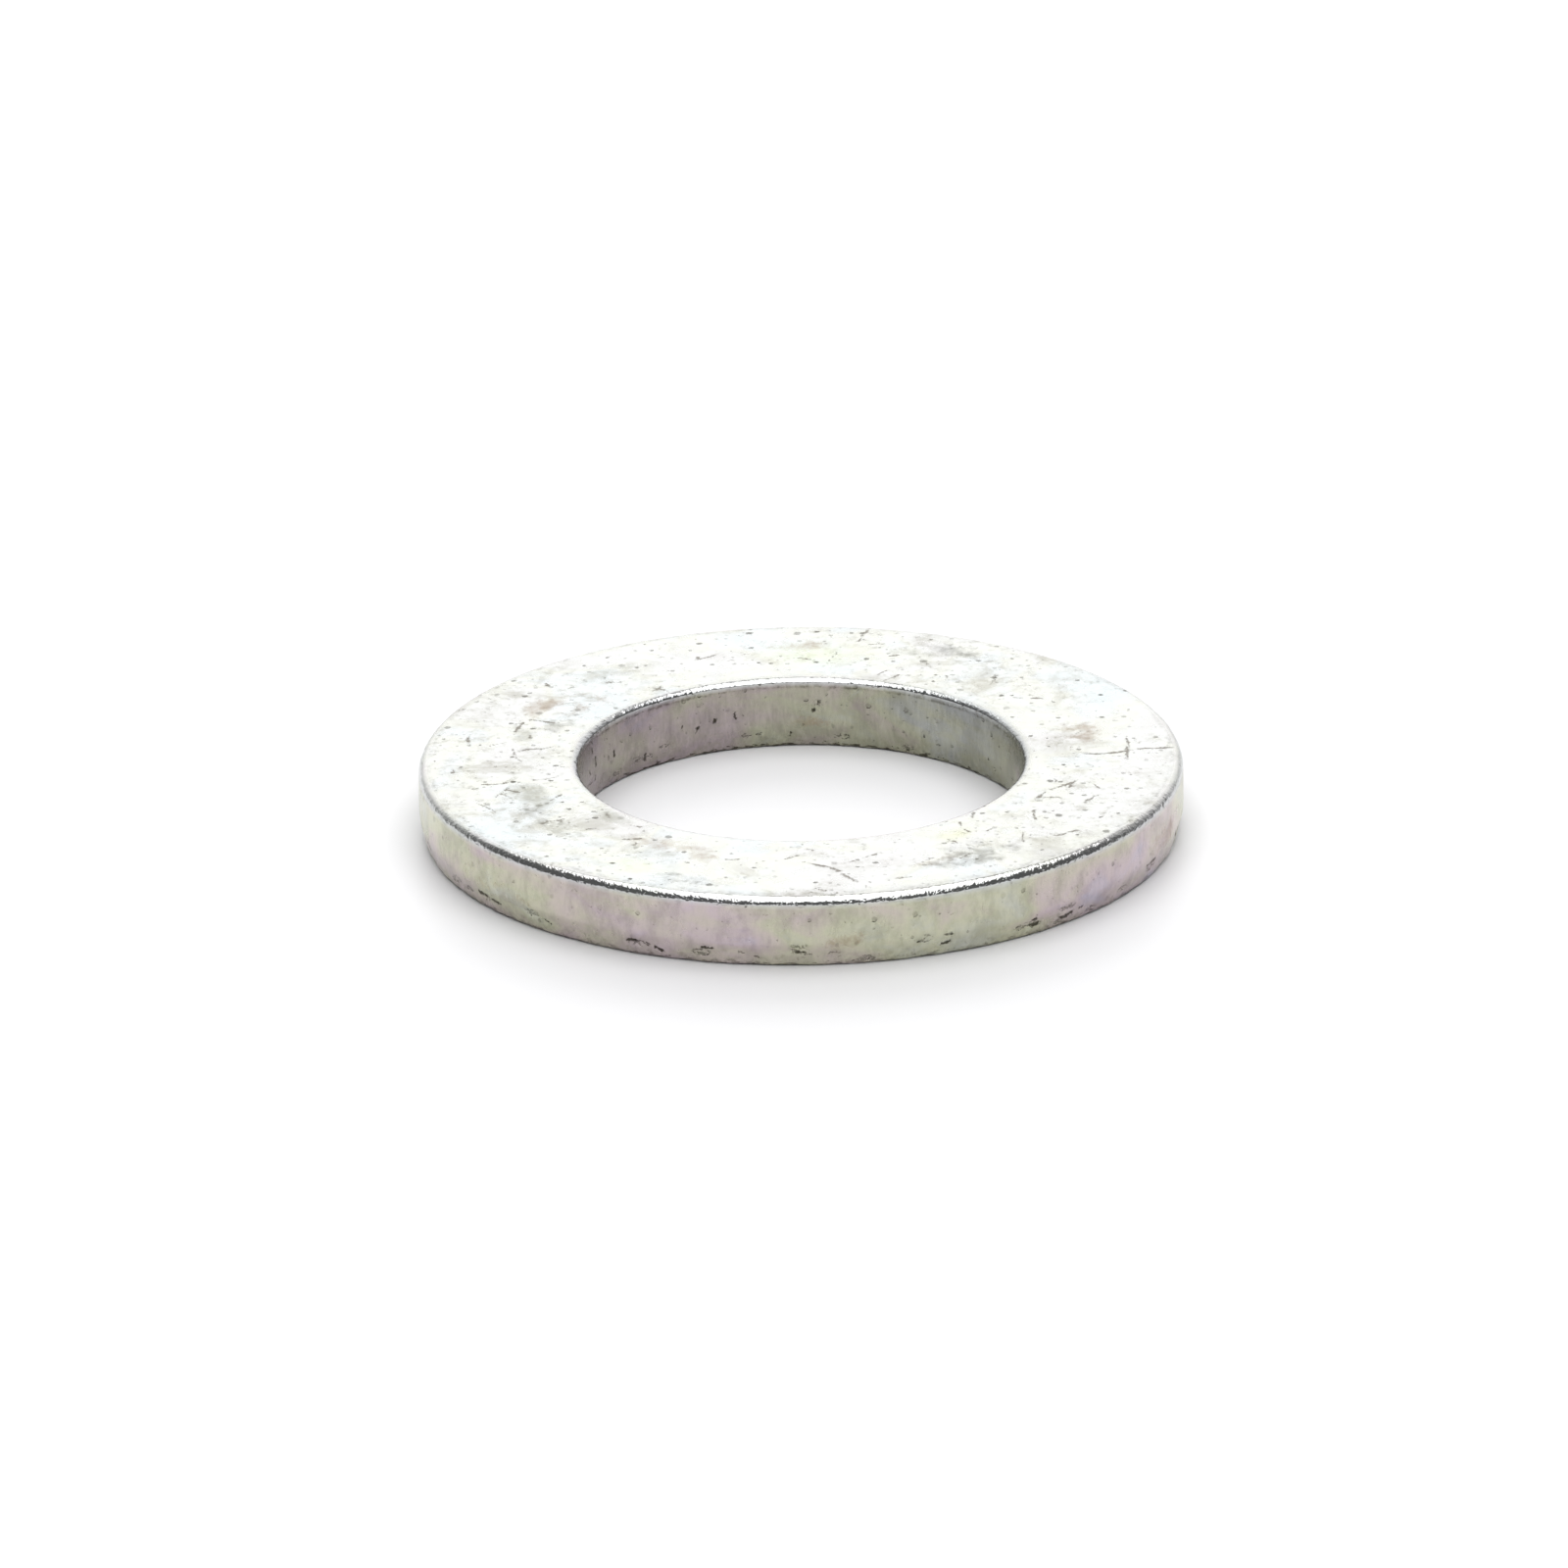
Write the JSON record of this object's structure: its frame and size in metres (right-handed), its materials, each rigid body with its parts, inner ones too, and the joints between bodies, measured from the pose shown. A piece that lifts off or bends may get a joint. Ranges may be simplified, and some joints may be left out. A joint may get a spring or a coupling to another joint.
{
  "type": "flat washer",
  "caption": "Flat round steel washer, zinc plated, with rolled upper edges and a torn lower zone on its rim and hole.",
  "frame": {"origin": "centre of the bottom face, on the axis of the hole", "axes": "+Z along the axis of the hole, from the torn lower side to the rolled upper side; X and Y lie in the bottom face"},
  "size_m": [0.03, 0.03, 0.0029],
  "materials": {
    "zinc_plated_steel": "bright zinc plating, satin, with a pale yellow, pink and blue passivation film, dark pits and brown stains"
  },
  "bodies": {
    "root": {"flat_washer": "zinc_plated_steel"}
  },
  "joints": []
}
